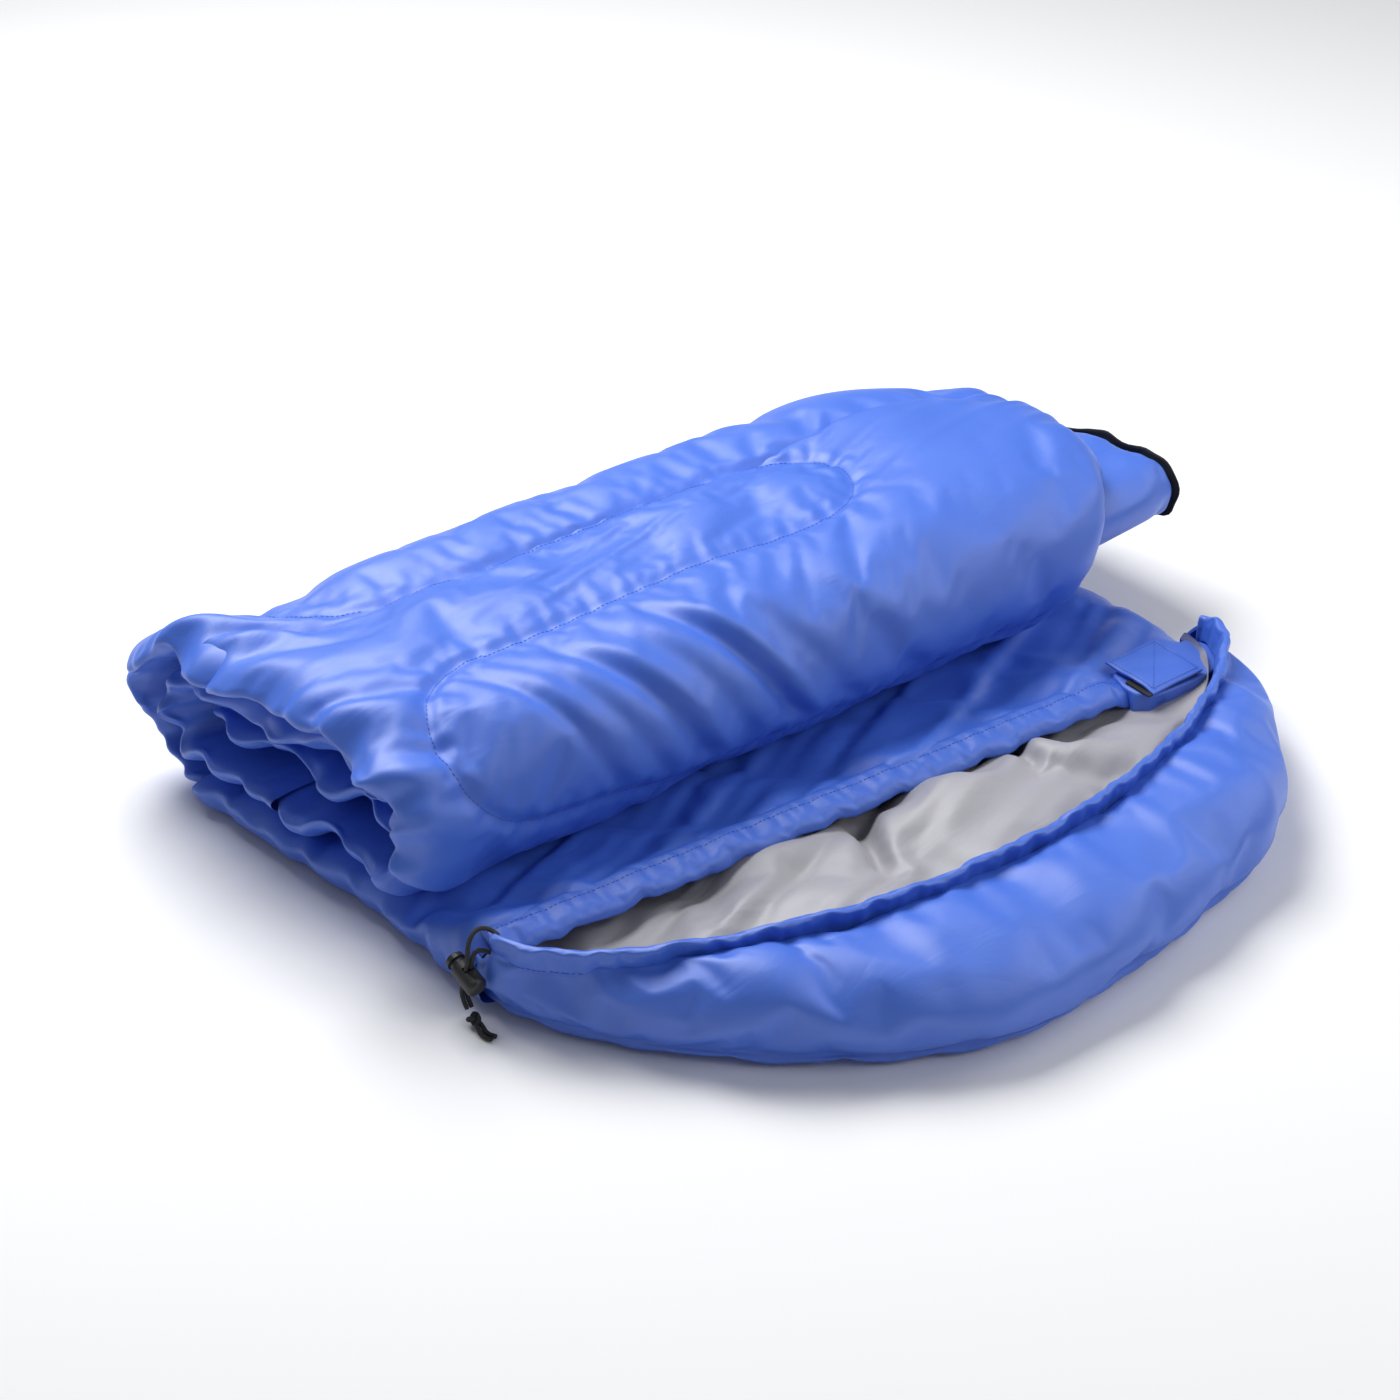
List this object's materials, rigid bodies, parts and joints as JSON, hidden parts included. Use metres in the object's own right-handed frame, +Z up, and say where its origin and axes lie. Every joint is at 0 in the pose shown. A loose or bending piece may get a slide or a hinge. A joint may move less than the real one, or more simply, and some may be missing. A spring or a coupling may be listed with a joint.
{
  "type": "rectangular sleeping bag",
  "caption": "Quilted rectangular sleeping bag with a rounded drawcord hood and a side zip, closed and rolled up towards its mouth.",
  "frame": {"origin": "centre of the bag's outline on the ground, without the free cord", "axes": "+X across the bag to its zip side, +Y from the hood to the roll, +Z up"},
  "size_m": [0.8149, 0.7202, 0.1844],
  "materials": {
    "shell": "satin",
    "hem": "satin",
    "lining": "satin",
    "batting": "matte",
    "tape": "matte",
    "cord": "matte",
    "lock_plastic": "satin",
    "zip_plastic": "matte",
    "zip_metal": "satin",
    "spring_steel": "satin"
  },
  "bodies": {
    "bag_base": {"base_back_batting": "batting", "base_back_lining": "lining", "base_back_shell": "shell", "base_front_batting": "batting", "base_front_lining": "lining", "base_front_shell": "shell", "base_side_binding": "hem", "drawcord_free": "cord", "drawcord_in_corner": "cord", "drawcord_knot": "cord", "drawcord_return": "cord", "guard_loop_patch": "tape", "guard_pad": "shell", "gusset_left": "shell", "gusset_right": "shell", "hem_end_left": "hem", "hem_end_right": "hem", "mouth_hem": "hem", "turn_back_batting": "batting", "turn_back_lining": "lining", "turn_back_shell": "shell", "turn_front_batting": "batting", "turn_front_lining": "lining", "turn_front_shell": "shell", "turn_zip": "tape", "zip_tape_back": "tape", "zip_tape_front": "tape", "zip_teeth_back": "zip_plastic", "zip_teeth_front": "zip_plastic", "zip_top_stop": "zip_metal"},
    "rolled_bag": {"foot_end_binding": "hem", "roll_back_batting": "batting", "roll_back_lining": "lining", "roll_back_shell": "shell", "roll_front_batting": "batting", "roll_front_lining": "lining", "roll_front_shell": "shell", "roll_side_binding": "hem", "roll_zip_tape_back": "tape", "roll_zip_tape_front": "tape", "roll_zip_teeth": "zip_plastic"},
    "hood": {"drawcord_in_hem": "cord", "hood_batting": "batting", "hood_hem": "hem", "hood_lining": "lining", "hood_shell": "shell"},
    "zip_slider": {"zip_slider_body": "zip_metal"},
    "zip_pull": {"zip_pull_tab": "zip_metal"},
    "cord_lock": {"cord_lock_barrel": "lock_plastic", "cord_lock_spring": "spring_steel"},
    "cord_lock_button": {"cord_lock_plunger": "lock_plastic"},
    "zip_guard": {"guard_tab": "hem", "guard_hook_patch": "tape"}
  },
  "joints": [
    {"name": "roll_open", "type": "hinge", "parent": "bag_base", "child": "rolled_bag", "pos_m": [0, 0.2679, 0.0922], "axis": [-1, 0, 0], "range_deg": [0, 175], "deforming": ["turn_back_batting", "turn_back_lining", "turn_back_shell", "turn_front_batting", "turn_front_lining", "turn_front_shell", "turn_zip"]},
    {"name": "hood_lift", "type": "hinge", "parent": "bag_base", "child": "hood", "pos_m": [0, -0.1471, 0.0169], "axis": [-1, 0, 0], "range_deg": [0, 35], "deforming": ["gusset_left", "gusset_right", "hem_end_left", "hem_end_right", "drawcord_in_corner"]},
    {"name": "zip_slide", "type": "slide", "parent": "bag_base", "child": "zip_slider", "axis": [0, 1, 0], "range_m": [0, 0.3]},
    {"name": "zip_pull_swing", "type": "hinge", "parent": "zip_slider", "child": "zip_pull", "pos_m": [0.3362, -0.0651, 0.0172], "axis": [0, 0, -1], "range_deg": [0, 170]},
    {"name": "guard_open", "type": "hinge", "parent": "bag_base", "child": "zip_guard", "pos_m": [0.2627, -0.0781, 0.0584], "axis": [-1, 0, 0], "range_deg": [0, 135]},
    {"name": "lock_slide", "type": "slide", "parent": "bag_base", "child": "cord_lock", "axis": [0, 0.2924, -0.9563], "range_m": [0, 0.008]},
    {"name": "lock_press", "type": "slide", "parent": "cord_lock", "child": "cord_lock_button", "axis": [0, -0.9563, -0.2924], "range_m": [0, 0.004], "stiffness_N_per_m": 600, "deforming": ["cord_lock_spring"]}
  ]
}
